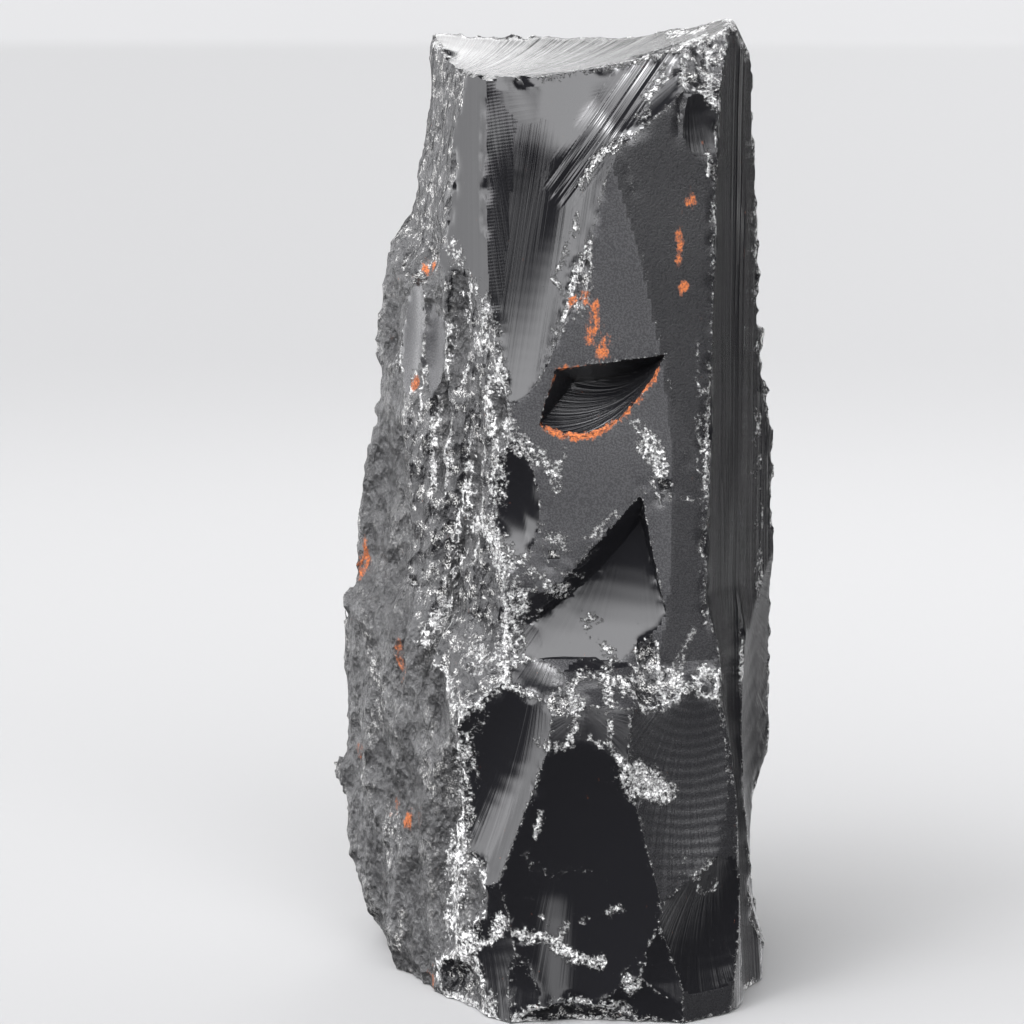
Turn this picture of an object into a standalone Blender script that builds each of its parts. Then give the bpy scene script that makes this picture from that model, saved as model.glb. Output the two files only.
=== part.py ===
"""Obsidian chunk: a tall standing block of volcanic glass with a flat foot.

The stone is one solid. A cube is trimmed to the stone's outer faces, and every flake
scar, flute, ledge and pit is then cut from it by a dished cutter. Lengths in the tables
are in millimetres, azimuth 0 looks out of the front (-Y) and 90 out of the right (+X).
"""

import math
from typing import NamedTuple

import bmesh
import bpy
from mathutils import Matrix, Vector

MM = 0.001
STONE = "obsidian_chunk"
CUBE_SIDE = 480.0
FOOT_Z = 0.0
REACH = 14.0
TALLEST_CUTTER = 150.0
WIDEST_CUTTER = 420.0
SEGMENTS = 20
RINGS = 6
PIT_SEGMENTS = 10
PIT_RINGS = 3
NEARLY_FLAT = 1.3
FLAT_RINGS = 3

GLASS_COLOUR = (0.012, 0.012, 0.014, 1.0)
GLASS_ROUGHNESS = 0.12
GLASS_METALLIC = 0.0


class Face(NamedTuple):
    """An outer plane of the stone: a point on it, then the way that it looks."""

    name: str
    at: tuple
    azimuth: float
    elevation: float


class Scar(NamedTuple):
    """A dished cut: rim centre, the way it looks, half-length, half-width and depth.

    A negative depth leaves a low dome instead of a dish. `spin` leans the long axis to
    the right, and each stop is a plane (point, azimuth, elevation) that ends the cut.
    """

    name: str
    at: tuple
    azimuth: float
    elevation: float
    long: float
    wide: float
    deep: float
    spin: float = 0.0
    stops: tuple = ()


LEDGE = ((10, -36, 73), 4, 60)

FACES = (
    Face("front", (6, -43, 20), -3, 6),
    Face("front_right", (33.5, -32, 72), 32, 3),
    Face("right", (38, -36, 0), 68, 1),
    Face("left_rear", (-42, 32, 60), -140, 5),
    Face("foot_left", (-26, -24, 0), -56, -14),
    Face("foot_far_left", (-39, 14, 1), -78, -22),
    Face("top", (6, 2, 212.8), -37, 76),
)

DOMES = (
    Scar("right_side", (47.2, 14, 105), 100, 1, 105, 40, -3),
    Scar("left_flank", (-36, -4, 60), -57, 0, 160, 60, -1.5),
    Scar("left_side", (-47.5, 16, 60), -98, 6, 150, 40, -1.5),
    Scar("back_left", (-6, 38.1, 60), 186, 5, 150, 60, -2),
    Scar("back_right", (32, 31.4, 60), 146, 6, 150, 40, -2),
)

SCARS = (
    Scar("crown", (5, 2, 211.3), -36, 76, 33, 32, 5, 78),
    Scar("crown_rear", (10, 24, 211.5), 160, 62, 46, 40, 3),
    Scar("crown_corner", (41, 0, 211.5), 84, 26, 40, 40, 0.3),
    Scar("flank_upper", (-21.4, -18, 170), -60, 2, 100, 60, 0.6, 0, (((-43, 12, 92), -54, 24),)),
    Scar("flank_middle", (-21, -16, 104), -50, 2, 40, 24, 1.4, 0, (((-20, -14, 90), -40, 30),)),
    Scar("shoulder", (-24, 2, 205), -76, 6, 60, 60, 0.5, 0, (((-34, 8, 161), -50, 42),)),
    Scar("shoulder_chip", (-24, -8, 200), -56, 6, 26, 14, 1.5),
    Scar("right_face", (34.5, -24, 120), 66, 0, 100, 45, 1.6, 0, (((33.5, -28, 82), 66, 13),)),
    Scar("right_flute", (39, -13, 150), 60, 1, 90, 8, 2),
    Scar("right_long_flute", (45.5, 2, 130), 74, 1, 100, 8, 2.5, 2),
    Scar("right_low_scoop", (46.5, -4, 50), 79, 3, 42, 17, 3.5, 3),
    Scar("right_waist", (47.5, 4, 25), 88, 1, 17, 26, 3.2),
    Scar("toe", (48.5, 10, 3), 98, -12, 24, 30, 0.5),
    Scar("panel", (30, -26, 150), 9, 1, 300, 90, 1, -4, (LEDGE,)),
    Scar("panel_right", (32, -26.5, 110), 14, 4, 60, 60, 0.5, -4, (LEDGE,)),
    Scar("panel_left", (0, -27, 122), -3, 3, 66, 33, 2.6, 0, (LEDGE,)),
    Scar("edge_band", (-21, -19, 180), -40, 2, 50, 8, 0.8, -4),
    Scar("long_flute", (-4, -25.5, 166), -2, 8, 48, 11, 6.5, 8),
    Scar("left_flute", (-15, -23, 176), -14, 6, 44, 10, 4, -9),
    Scar("top_scoop", (14, -20, 206), 0, 26, 36, 18, 8, 40),
    Scar("notch", (2, -28.5, 144), 0, 10, 25.5, 23, 12, 0,
         (((5, -26, 144.5), 8, -62), ((-7, -27, 133), 58, 14))),
    Scar("notch_step", (4, -27, 157), -25, 10, 12, 5, 2, 12),
    Scar("side_scoop", (-8, -28.5, 110), -26, 6, 17, 8.5, 5, -10),
    Scar("middle_scoop", (13, -30, 90), -6, 14, 25, 14, 8, -12, (LEDGE,)),
    Scar("ledge_scoop", (-2, -31, 84), -16, 14, 12, 12, 5, 10),
    Scar("low_left", (-9, -37.5, 66), -30, 6, 34, 12, 5, 20),
    Scar("low_middle", (5, -40.5, 43), -3, 5, 33, 18, 4.5, -3),
    Scar("low_right", (26, -36.5, 53), 24, 5, 27, 14, 3, -8),
    Scar("foot_flare", (33, -37.5, 17), 34, 8, 18, 19, 4, -30),
    Scar("foot_left_scoop", (-16, -38, 18), -32, -4, 22, 12, 3),
    Scar("foot_chip", (14, -43, 8), 8, -20, 10, 14, 2.5),
    Scar("foot_arch", (8, -42, 0), 0, -28, 8, 22, 4),
    Scar("back_top", (6, 30, 160), 176, 8, 52, 30, 5, 12),
    Scar("back_middle", (-20, 33, 96), 198, 4, 44, 24, 5, -14),
    Scar("back_side", (18, 39, 70), 160, 5, 46, 24, 5, 10),
    Scar("back_foot", (-4, 40, 22), 184, -6, 24, 28, 4),
    Scar("back_high_left", (-28, 26, 176), 204, 7, 36, 15, 4, -10),
    Scar("back_low_left", (-28, 36, 52), 204, 3, 32, 17, 4, 12),
    Scar("back_right_middle", (33, 24, 118), 146, 6, 46, 15, 4.5, 5),
    Scar("back_right_low", (33, 36, 30), 142, 0, 26, 17, 4, -8),
    Scar("back_crest_chip", (8, 34.5, 114), 168, 8, 15, 9, 3.4, 20),
    Scar("back_high_chip", (28, 23, 196), 158, 22, 16, 13, 3, -10),
    Scar("back_base_chip", (12, 43.5, 5), 172, -18, 9, 13, 2.6),
    Scar("rear_right_top", (43, 23, 150), 118, 6, 48, 16, 3, -6),
    Scar("rear_right_foot", (46, 25, 44), 122, 0, 38, 18, 4, 8),
    Scar("rear_left_top", (-43, 25, 130), -118, 6, 46, 14, 3, 6),
    Scar("rear_left_foot", (-46, 25, 36), -122, -4, 30, 14, 3),
)

PITS = (
    Scar("shoulder_hollow", (-29, 1.5, 161.5), -50, 30, 5, 4, 2.2),
    Scar("grain_01", (-31.5, -2, 137), -60, 2, 13, 3, 1.8, -6),
    Scar("grain_02", (-22, -13.5, 149), -50, -2, 15, 3.2, 2, 8),
    Scar("grain_03", (-26, -9, 124), -48, 0, 17, 3.4, 2.4, 4),
    Scar("grain_04", (-13.5, -23.5, 130), -54, 0, 10, 3, 1.8, -8),
    Scar("grain_05", (-19, -16.5, 110), -50, 1, 14, 3, 1.8, 6),
    Scar("grain_06", (-35, 2, 113), -60, 2, 18, 3.6, 2.2, -4),
    Scar("crack", (-25.5, -13.5, 84), -48, 12, 18, 2.6, 3.4, 6),
    Scar("grain_07", (-35.5, -8, 72), -57, 0, 9, 3, 2.6, 4),
    Scar("grain_08", (-46.5, 9.5, 50), -58, 0, 15, 3.6, 2, 3),
    Scar("grain_09", (-37.5, -5, 39), -57, 0, 10, 3.4, 2.4, -6),
    Scar("grain_10", (-28, -20, 60), -56, 0, 19, 3.6, 2.4, 7),
    Scar("grain_11", (-32.5, -12.5, 25), -57, 0, 14, 3.6, 2, 9),
    Scar("grain_12", (-41, 1.5, 60), -57, 0, 17, 3, 1.6, -3),
    Scar("grain_13", (-44.5, 13, 91), -54, 12, 7, 4, 1.8),
    Scar("grain_14", (-22, -24, 45), -50, 0, 13, 3, 1.8, 10),
    Scar("grain_15", (-37, 4, 152), -62, 2, 12, 3.4, 1.6, -5),
    Scar("edge_chip", (47.5, 11, 173), 62, 4, 9, 4, 2.2, -6),
    Scar("edge_nick", (46, -6, 20), 76, 6, 9, 7, 2.4),
    Scar("crest_nick", (31, -31, 75), 30, 30, 5, 7, 2.2, 20),
    Scar("crest_bite", (1, -36, 73), -6, 30, 6, 5, 2.4),
    Scar("base_nick", (-22, -28, 6), -50, -14, 7, 9, 2.4),
    Scar("corner_chip", (30, -19, 205), 24, 38, 8, 7, 2.2, 10),
    Scar("corner_scar", (29, -23.5, 191), 15, 5, 12, 5, 1.8, 4),
    Scar("crown_flake", (-16, 4, 211), -30, 62, 8, 10, 1.8, 30),
    Scar("panel_chip", (23, -27, 116), 4, 4, 6, 3, 1.4, -14),
    Scar("ledge_flake_01", (19, -29, 78), 14, 18, 6, 4, 1.8, -10),
    Scar("ledge_flake_02", (25, -30, 76), -6, 24, 5, 3.6, 1.8, 16),
    Scar("ridge_bite_01", (-8, -29, 97), -20, 14, 7, 4, 2, 12),
    Scar("ridge_bite_02", (0, -28, 101), 0, 12, 5, 4, 1.8, -14),
    Scar("low_right_bite", (21, -37.5, 53), 20, 4, 5, 6, 1.6, 20),
    Scar("low_left_sliver", (-15, -38, 42), -24, 0, 16, 3.6, 2.2, 26),
    Scar("foot_facet_01", (-8, -42, 13), -16, -14, 9, 11, 2.4, 12),
    Scar("foot_facet_02", (4, -43, 13), 0, -2, 9, 9, 2, -20),
    Scar("foot_facet_03", (22, -42, 15), 18, -6, 12, 8, 2.2, 8),
    Scar("right_flute_low", (41, -11, 84), 62, 0, 26, 5, 1.8, 4),
    Scar("right_flute_high", (44, -2, 190), 70, 3, 26, 5, 1.8, 2),
    Scar("rear_grain_01", (-50, 22, 84), -98, 5, 22, 4, 2.2, 4),
    Scar("rear_grain_02", (-44, 24, 172), -100, 6, 18, 4, 2, -4),
)


def looking(azimuth, elevation):
    """Unit vector pointing out at this azimuth and elevation, in degrees."""
    turn = math.radians(azimuth)
    rise = math.radians(elevation)
    return Vector((math.sin(turn) * math.cos(rise), -math.cos(turn) * math.cos(rise), math.sin(rise)))


def frame_of(scar):
    """Matrix that stands a cutter's own X (width), Y (length) and Z (out) at the scar."""
    out = looking(scar.azimuth, scar.elevation)
    up = Vector((0, 0, 1))
    up = (up - out * up.dot(out)).normalized()
    right = up.cross(out)
    lean = math.radians(scar.spin)
    long = up * math.cos(lean) + right * math.sin(lean)
    wide = long.cross(out)
    turned = Matrix((wide, long, out)).transposed().to_4x4()
    return Matrix.Translation(Vector(scar.at)) @ turned


def dish_profile(scar, rings):
    """Half section of the cutter: (radius, height) down the dish, up its wall and over."""
    widest = min(math.sqrt(1 + REACH / abs(scar.deep)), WIDEST_CUTTER / max(scar.long, scar.wide))
    points = []
    for ring in range(rings + 1):
        radius = widest * ring / rings
        points.append((radius, scar.deep * (radius * radius - 1)))
    points.append((widest, TALLEST_CUTTER))
    points.append((0.0, TALLEST_CUTTER))
    return points


def spun(profile, segments):
    """Closed bmesh made by spinning a half section about Z."""
    work = bmesh.new()
    corners = [work.verts.new((radius, 0, height)) for radius, height in profile]
    edges = [work.edges.new(pair) for pair in zip(corners, corners[1:])]
    bmesh.ops.spin(work, geom=corners + edges, cent=(0, 0, 0), axis=(0, 0, 1),
                   angle=2 * math.pi, steps=segments)
    bmesh.ops.remove_doubles(work, verts=work.verts, dist=1e-4)
    return work


def trim(work, point, outward, keep_outside):
    """Cuts a closed bmesh by a plane, keeps one side of it and closes the cut."""
    geometry = list(work.verts) + list(work.edges) + list(work.faces)
    bmesh.ops.bisect_plane(work, geom=geometry, plane_co=point, plane_no=outward,
                           clear_inner=keep_outside, clear_outer=not keep_outside)
    rim = [edge for edge in work.edges if edge.is_boundary]
    if rim:
        bmesh.ops.holes_fill(work, edges=rim, sides=0)


def to_object(work, name, collection):
    """Links a millimetre bmesh as a mesh object in metres."""
    bmesh.ops.scale(work, vec=(MM, MM, MM), verts=work.verts)
    bmesh.ops.recalc_face_normals(work, faces=work.faces)
    mesh = bpy.data.meshes.new(name)
    work.to_mesh(mesh)
    work.free()
    made = bpy.data.objects.new(name, mesh)
    collection.objects.link(made)
    return made


def cutter(scar, segments, rings, collection):
    """The closed cutter of one scar, ended by the scar's stops."""
    if abs(scar.deep) < NEARLY_FLAT:
        rings = FLAT_RINGS
    work = spun(dish_profile(scar, rings), segments)
    bmesh.ops.scale(work, vec=(scar.wide, scar.long, 1), verts=work.verts)
    bmesh.ops.transform(work, matrix=frame_of(scar), verts=work.verts)
    for point, azimuth, elevation in scar.stops:
        trim(work, Vector(point), looking(azimuth, elevation), True)
    made = to_object(work, "cut_" + scar.name, collection)
    made.hide_render = True
    made.display_type = "WIRE"
    return made


def block(collection):
    """The cube trimmed to the stone's outer planes, standing on a flat foot."""
    work = bmesh.new()
    bmesh.ops.create_cube(work, size=CUBE_SIDE)
    bmesh.ops.translate(work, vec=(0, 0, CUBE_SIDE / 2 + FOOT_Z), verts=work.verts)
    for face in FACES:
        trim(work, Vector(face.at), looking(face.azimuth, face.elevation), False)
    return to_object(work, STONE, collection)


def glass():
    """Black glass with a slight gloss."""
    made = bpy.data.materials.new("obsidian")
    made.use_nodes = True
    shader = made.node_tree.nodes["Principled BSDF"]
    shader.inputs["Base Color"].default_value = GLASS_COLOUR
    shader.inputs["Roughness"].default_value = GLASS_ROUGHNESS
    shader.inputs["Metallic"].default_value = GLASS_METALLIC
    made.diffuse_color = GLASS_COLOUR
    return made


def clear_scene():
    """Removes every object of the startup scene."""
    for found in list(bpy.data.objects):
        bpy.data.objects.remove(found)


def collection_of(name, hidden):
    """A new collection under the scene's own."""
    made = bpy.data.collections.new(name)
    made.hide_render = hidden
    bpy.context.scene.collection.children.link(made)
    return made


def main():
    """Builds the block and knaps it with every cutter."""
    clear_scene()
    stone_parts = collection_of(STONE, False)
    cutters = collection_of("cutters", True)
    stone = block(stone_parts)
    stone.data.materials.append(glass())
    for scar in DOMES + SCARS:
        cutter(scar, SEGMENTS, RINGS, cutters)
    for pit in PITS:
        cutter(pit, PIT_SEGMENTS, PIT_RINGS, cutters)
    knap = stone.modifiers.new("knap", "BOOLEAN")
    knap.operation = "DIFFERENCE"
    knap.solver = "EXACT"
    knap.operand_type = "COLLECTION"
    knap.collection = cutters


main()
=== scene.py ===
"""Obsidian chunk: the visual model of a tall standing block of volcanic glass.

The stone is described as one solid: outer faces and low domes that bound it, and dished
flake scars, flutes and pits that are struck from it. Each of those surfaces carries a
finish, such as glossy glass or weathered crust. The solid is then meshed on a fine
lattice that keeps its ridges sharp, and dressed with one procedural material.

Lengths in the tables are in millimetres. Azimuth 0 looks out of the front (-Y) and 90
out of the right (+X).
"""

import logging
import math
from dataclasses import dataclass, field
from enum import Enum

import bmesh
import bpy
import numpy as np
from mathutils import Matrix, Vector


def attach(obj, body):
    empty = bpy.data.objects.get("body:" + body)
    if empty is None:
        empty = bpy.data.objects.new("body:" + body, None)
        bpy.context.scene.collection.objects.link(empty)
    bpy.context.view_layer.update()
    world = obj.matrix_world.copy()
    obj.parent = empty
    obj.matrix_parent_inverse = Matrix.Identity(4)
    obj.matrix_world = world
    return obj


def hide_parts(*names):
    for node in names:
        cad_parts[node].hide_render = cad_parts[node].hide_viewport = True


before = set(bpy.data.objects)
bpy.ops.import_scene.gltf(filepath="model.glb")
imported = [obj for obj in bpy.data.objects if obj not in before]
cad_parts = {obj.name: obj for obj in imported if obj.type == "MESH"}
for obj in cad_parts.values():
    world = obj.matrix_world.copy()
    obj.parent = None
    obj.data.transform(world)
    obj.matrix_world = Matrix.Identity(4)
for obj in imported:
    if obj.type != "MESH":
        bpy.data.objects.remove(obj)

log = logging.getLogger("obsidian")

NODE = "obsidian_chunk"
BODY = "root"
MM = 0.001
SHEER = 1.0e4

Triple = tuple[float, float, float]


class Finish(Enum):
    """How the surface that a strike or the weather left behind looks."""

    GLASS = 0
    SATIN = 1
    CRUST = 2
    FLUTED = 3
    BROKEN = 4


def looking(azimuth: float, elevation: float) -> np.ndarray:
    """Unit vector pointing out at an azimuth and elevation.

    Args:
        azimuth: turn from the front towards the right, in degrees.
        elevation: rise above the level, in degrees.

    Returns:
        Three numbers, the vector.
    """
    turn, rise = math.radians(azimuth), math.radians(elevation)
    level = math.cos(rise)
    return np.array([math.sin(turn) * level, -math.cos(turn) * level, math.sin(rise)])


def soft_step(value: np.ndarray, low: float, high: float) -> np.ndarray:
    """0 below low, 1 above high and smooth between, for either order of the two."""
    part = np.clip((value - low) / (high - low), 0.0, 1.0)
    return part * part * (3.0 - 2.0 * part)


@dataclass(frozen=True)
class Scar:
    """One surface of the stone: a plane, a low dome or a dished cut.

    `at` is the middle of its rim and the angles are the way it looks. `long` and `wide`
    are half-sizes of the rim, `deep` the dish's depth (negative for a dome, 0 for a
    plane), `spin` leans the long axis to the right, and each stop is a plane (point,
    azimuth, elevation) that ends the cut.
    """

    name: str
    at: Triple
    azimuth: float
    elevation: float
    long: float = SHEER
    wide: float = SHEER
    deep: float = 0.0
    spin: float = 0.0
    stops: tuple = ()

    def axes(self) -> tuple[np.ndarray, np.ndarray, np.ndarray]:
        """The outward, lengthwise and crosswise unit vectors."""
        out = looking(self.azimuth, self.elevation)
        up = np.array([0.0, 0.0, 1.0])
        up = up - out * (up @ out)
        up = up / np.linalg.norm(up)
        right = np.cross(up, out)
        lean = math.radians(self.spin)
        long = up * math.cos(lean) + right * math.sin(lean)
        return out, long, np.cross(long, out)

    def rise(self, points: np.ndarray) -> np.ndarray:
        """How far outside this surface each point is: negative in the glass.

        Args:
            points: places, one row each.

        Returns:
            One height for each point.
        """
        out, long, wide = self.axes()
        away = points - np.array(self.at)
        height = away @ out
        if self.deep:
            along = (away @ long) / self.long
            across = (away @ wide) / self.wide
            height = height + self.deep * (1.0 - along * along - across * across)
        for point, azimuth, elevation in self.stops:
            height = np.minimum(height, (points - np.array(point)) @ looking(azimuth, elevation))
        return height

    def slope(self, points: np.ndarray) -> np.ndarray:
        """The unit-scale slope of `rise` at each point, one vector to a row."""
        out, long, wide = self.axes()
        away = points - np.array(self.at)
        slope = np.tile(out, (len(points), 1))
        height = away @ out
        if self.deep:
            along, across = away @ long, away @ wide
            slope = slope - 2.0 * self.deep * (along[:, None] * long / self.long ** 2
                                               + across[:, None] * wide / self.wide ** 2)
            share = (along / self.long) ** 2
            height = height + self.deep * (1.0 - share - (across / self.wide) ** 2)
        for point, azimuth, elevation in self.stops:
            way = looking(azimuth, elevation)
            stop = (points - np.array(point)) @ way
            slope = np.where((stop < height)[:, None], way, slope)
            height = np.minimum(height, stop)
        return slope


@dataclass(frozen=True)
class Dress:
    """What a strike left on its scar.

    `struck` is the point of impact that ripples and rays spread from; without one, the
    streaks run along the scar. Ripple and ray strengths are 0 to 1, `ripple_mm` is the
    spacing of the ripples, `worn` says how crushed the scar's rim is, and `tone` how pale
    a satin surface is painted: partly its own grey, partly painted sheen that makes some
    panels lighter and others darker as the light falls on them.
    """

    finish: Finish
    struck: Triple | None = None
    ripple: float = 0.0
    ripple_mm: float = 3.0
    ray: float = 0.0
    worn: float = 0.5
    tone: float = 0.6


LEDGE = ((10, -36, 73), 4, 60)

FACES = (
    Scar("foot", (0, 0, 0), 0, -90),
    Scar("front", (6, -43, 20), -3, 6),
    Scar("front_right", (33.5, -32, 72), 32, 3),
    Scar("right", (38, -36, 0), 68, 1),
    Scar("left_rear", (-42, 32, 60), -140, 5),
    Scar("foot_left", (-26, -24, 0), -56, -14),
    Scar("foot_far_left", (-39, 14, 1), -78, -22),
    Scar("top", (6, 2, 212.8), -37, 76),
)

DOMES = (
    Scar("right_side", (47.2, 14, 105), 100, 1, 105, 40, -3),
    Scar("left_flank", (-36, -4, 60), -57, 0, 160, 60, -1.5),
    Scar("left_side", (-47.5, 16, 60), -98, 6, 150, 40, -1.5),
    Scar("back_left", (-6, 38.1, 60), 186, 5, 150, 60, -2),
    Scar("back_right", (32, 31.4, 60), 146, 6, 150, 40, -2),
)

SCARS = (
    Scar("crown", (5, 2, 211.3), -36, 76, 33, 32, 5, 78),
    Scar("crown_rear", (10, 24, 211.5), 160, 62, 46, 40, 3),
    Scar("crown_corner", (41, 0, 211.5), 84, 26, 40, 40, 0.3),
    Scar("flank_upper", (-21.4, -18, 170), -60, 2, 100, 60, 0.6, 0, (((-43, 12, 92), -54, 24),)),
    Scar("flank_middle", (-21, -16, 104), -50, 2, 40, 24, 1.4, 0, (((-20, -14, 90), -40, 30),)),
    Scar("shoulder", (-24, 2, 205), -76, 6, 60, 60, 0.5, 0, (((-34, 8, 161), -50, 42),)),
    Scar("shoulder_chip", (-24, -8, 200), -56, 6, 26, 14, 1.5),
    Scar("flank_gloss_high", (-32.5, 0, 147), -57, 2, 15, 6, 2.2, 4),
    Scar("flank_gloss_low", (-27, -7.5, 145), -54, 0, 13, 4.5, 2.2, -3),
    Scar("right_face", (34.5, -24, 120), 66, 0, 100, 45, 1.6, 0, (((33.5, -28, 82), 66, 13),)),
    Scar("right_flute", (39, -13, 150), 60, 1, 90, 8, 2),
    Scar("right_long_flute", (45.5, 2, 130), 74, 1, 100, 8, 2.5, 2),
    Scar("right_low_scoop", (46.5, -4, 50), 79, 3, 42, 17, 3.5, 3),
    Scar("right_waist", (47.5, 4, 25), 88, 1, 17, 26, 3.2),
    Scar("toe", (48.5, 10, 3), 98, -12, 24, 30, 0.5),
    Scar("panel", (30, -26, 150), 9, 1, 300, 90, 1, -4, (LEDGE,)),
    Scar("panel_right", (32, -26.5, 110), 14, 4, 60, 60, 0.5, -4, (LEDGE,)),
    Scar("panel_left", (0, -27.6, 122), 1, 1.5, 66, 60, 2.2, 0,
         (LEDGE, ((24, -26, 140), -60, -10.5))),
    Scar("edge_band", (-18, -16.2, 177), -47, 3.2, 60, 8, 0.3, -4,
         (((-16, -20, 136), -47, 70),)),
    Scar("long_flute", (-4, -25.5, 166), -2, 8, 48, 11, 6.5, 8),
    Scar("left_flute", (-15, -23, 176), -14, 6, 44, 10, 4, -9),
    Scar("top_scoop", (7, -20, 205), 0, 29, 38, 20, 8, 36),
    Scar("notch", (7, -27.3, 137.4), -25, 48, 40, 15, 9, 0,
         (((5, -26, 142.6), 16, -64), ((-3.4, -27, 134), 62, -14))),
    Scar("notch_step", (4, -27, 157), -25, 10, 12, 5, 2, 12),
    Scar("panel_low", (26.5, -28.2, 96), 14, 2, 23, 9.5, 0.9, -4, (LEDGE,)),
    Scar("side_scoop", (-8.5, -28.5, 110), -26, 6, 17.5, 10, 5, -8),
    Scar("middle_scoop", (12.5, -27, 88), -8, 16, 24, 17, 3, 8,
         (LEDGE, ((8, -27, 104.5), 36, -26), ((19, -27, 112), -76, -11))),
    Scar("ledge_scoop", (-2, -31, 84), -16, 14, 12, 12, 5, 10),
    Scar("low_left", (-9, -37.5, 66), -30, 1, 34, 12, 5, 20),
    Scar("low_middle", (5, -40.5, 43), -3, -3, 33, 18, 4.5, -3),
    Scar("low_right", (26, -36.5, 53), 24, 5, 27, 14, 3, -8),
    Scar("foot_flare", (33, -37.5, 17), 34, 8, 18, 19, 4, -30),
    Scar("foot_left_scoop", (-16, -38, 18), -32, -4, 22, 12, 3),
    Scar("foot_chip", (14, -43, 8), 8, -20, 10, 14, 2.5),
    Scar("foot_arch", (8, -42, 0), 0, -28, 8, 22, 4),
    Scar("back_top", (6, 30, 160), 176, 8, 52, 30, 5, 12),
    Scar("back_middle", (-20, 33, 96), 198, 4, 44, 24, 5, -14),
    Scar("back_side", (18, 39, 70), 160, 5, 46, 24, 5, 10),
    Scar("back_foot", (-4, 40, 22), 184, -6, 24, 28, 4),
    Scar("back_high_left", (-28, 26, 176), 204, 7, 36, 15, 4, -10),
    Scar("back_low_left", (-28, 36, 52), 204, 3, 32, 17, 4, 12),
    Scar("back_right_middle", (33, 24, 118), 146, 6, 46, 15, 4.5, 5),
    Scar("back_right_low", (33, 36, 30), 142, 0, 26, 17, 4, -8),
    Scar("back_crest_chip", (8, 34.5, 114), 168, 8, 15, 9, 3.4, 20),
    Scar("back_high_chip", (28, 23, 196), 158, 22, 16, 13, 3, -10),
    Scar("back_base_chip", (12, 43.5, 5), 172, -18, 9, 13, 2.6),
    Scar("rear_right_top", (43, 23, 150), 118, 6, 48, 16, 3, -6),
    Scar("rear_right_foot", (46, 25, 44), 122, 0, 38, 18, 4, 8),
    Scar("rear_left_top", (-43, 25, 130), -118, 6, 46, 14, 3, 6),
    Scar("rear_left_foot", (-46, 25, 36), -122, -4, 30, 14, 3),
)

PITS = (
    Scar("shoulder_hollow", (-29, 1.5, 161.5), -50, 30, 5, 4, 2.2),
    Scar("grain_01", (-31.5, -2, 137), -60, 2, 13, 3, 1.8, -6),
    Scar("grain_02", (-22, -13.5, 149), -50, -2, 15, 3.2, 2, 8),
    Scar("grain_03", (-26, -9, 124), -48, 0, 17, 3.4, 2.4, 4),
    Scar("grain_04", (-13.5, -23.5, 130), -54, 0, 10, 3, 1.8, -8),
    Scar("grain_05", (-19, -16.5, 110), -50, 1, 14, 3, 1.8, 6),
    Scar("grain_06", (-35, 2, 113), -60, 2, 18, 3.6, 2.2, -4),
    Scar("crack", (-25.5, -13.5, 84), -48, 12, 18, 2.6, 3.4, 6),
    Scar("grain_07", (-35.5, -8, 72), -57, 0, 9, 3, 2.6, 4),
    Scar("grain_08", (-46.5, 9.5, 50), -58, 0, 15, 3.6, 2, 3),
    Scar("grain_09", (-37.5, -5, 39), -57, 0, 10, 3.4, 2.4, -6),
    Scar("grain_10", (-28, -20, 60), -56, 0, 19, 3.6, 2.4, 7),
    Scar("grain_11", (-32.5, -12.5, 25), -57, 0, 14, 3.6, 2, 9),
    Scar("grain_12", (-41, 1.5, 60), -57, 0, 17, 3, 1.6, -3),
    Scar("grain_13", (-44.5, 13, 91), -54, 12, 7, 4, 1.8),
    Scar("grain_14", (-22, -24, 45), -50, 0, 13, 3, 1.8, 10),
    Scar("grain_15", (-37, 4, 152), -62, 2, 12, 3.4, 1.6, -5),
    Scar("edge_chip", (47.5, 11, 173), 62, 4, 9, 4, 2.2, -6),
    Scar("edge_nick", (46, -6, 20), 76, 6, 9, 7, 2.4),
    Scar("crest_nick", (31, -31, 75), 30, 30, 5, 7, 2.2, 20),
    Scar("crest_bite", (1, -36, 73), -6, 30, 6, 5, 2.4),
    Scar("base_nick", (-22, -28, 6), -50, -14, 7, 9, 2.4),
    Scar("corner_chip", (30, -19, 205), 24, 38, 8, 7, 2.2, 10),
    Scar("corner_scar", (29, -23, 197.5), 32, -6, 11, 6.5, 2, 8),
    Scar("crown_flake", (-16, 4, 211), -30, 62, 8, 10, 1.8, 30),
    Scar("panel_chip", (23, -27, 116), 4, 4, 6, 3, 1.4, -14),
    Scar("ledge_flake_01", (19, -29, 78), 14, 18, 6, 4, 1.8, -10),
    Scar("ledge_flake_02", (25, -30, 76), -6, 24, 5, 3.6, 1.8, 16),
    Scar("ridge_bite_01", (-8, -29, 97), -20, 14, 7, 4, 2, 12),
    Scar("ridge_bite_02", (0, -28, 101), 0, 12, 5, 4, 1.8, -14),
    Scar("low_right_bite", (21, -37.5, 53), 20, 4, 5, 6, 1.6, 20),
    Scar("low_left_sliver", (-15, -38, 42), -24, 0, 16, 3.6, 2.2, 26),
    Scar("foot_facet_01", (-8, -42, 13), -16, -14, 9, 11, 2.4, 12),
    Scar("foot_facet_02", (4, -43, 13), 0, -2, 9, 9, 2, -20),
    Scar("foot_facet_03", (22, -42, 15), 18, -6, 12, 8, 2.2, 8),
    Scar("right_flute_low", (41, -11, 84), 62, 0, 26, 5, 1.8, 4),
    Scar("right_flute_high", (44, -2, 190), 70, 3, 26, 5, 1.8, 2),
    Scar("rear_grain_01", (-50, 22, 84), -98, 5, 22, 4, 2.2, 4),
    Scar("rear_grain_02", (-44, 24, 172), -100, 6, 18, 4, 2, -4),
)

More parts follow.
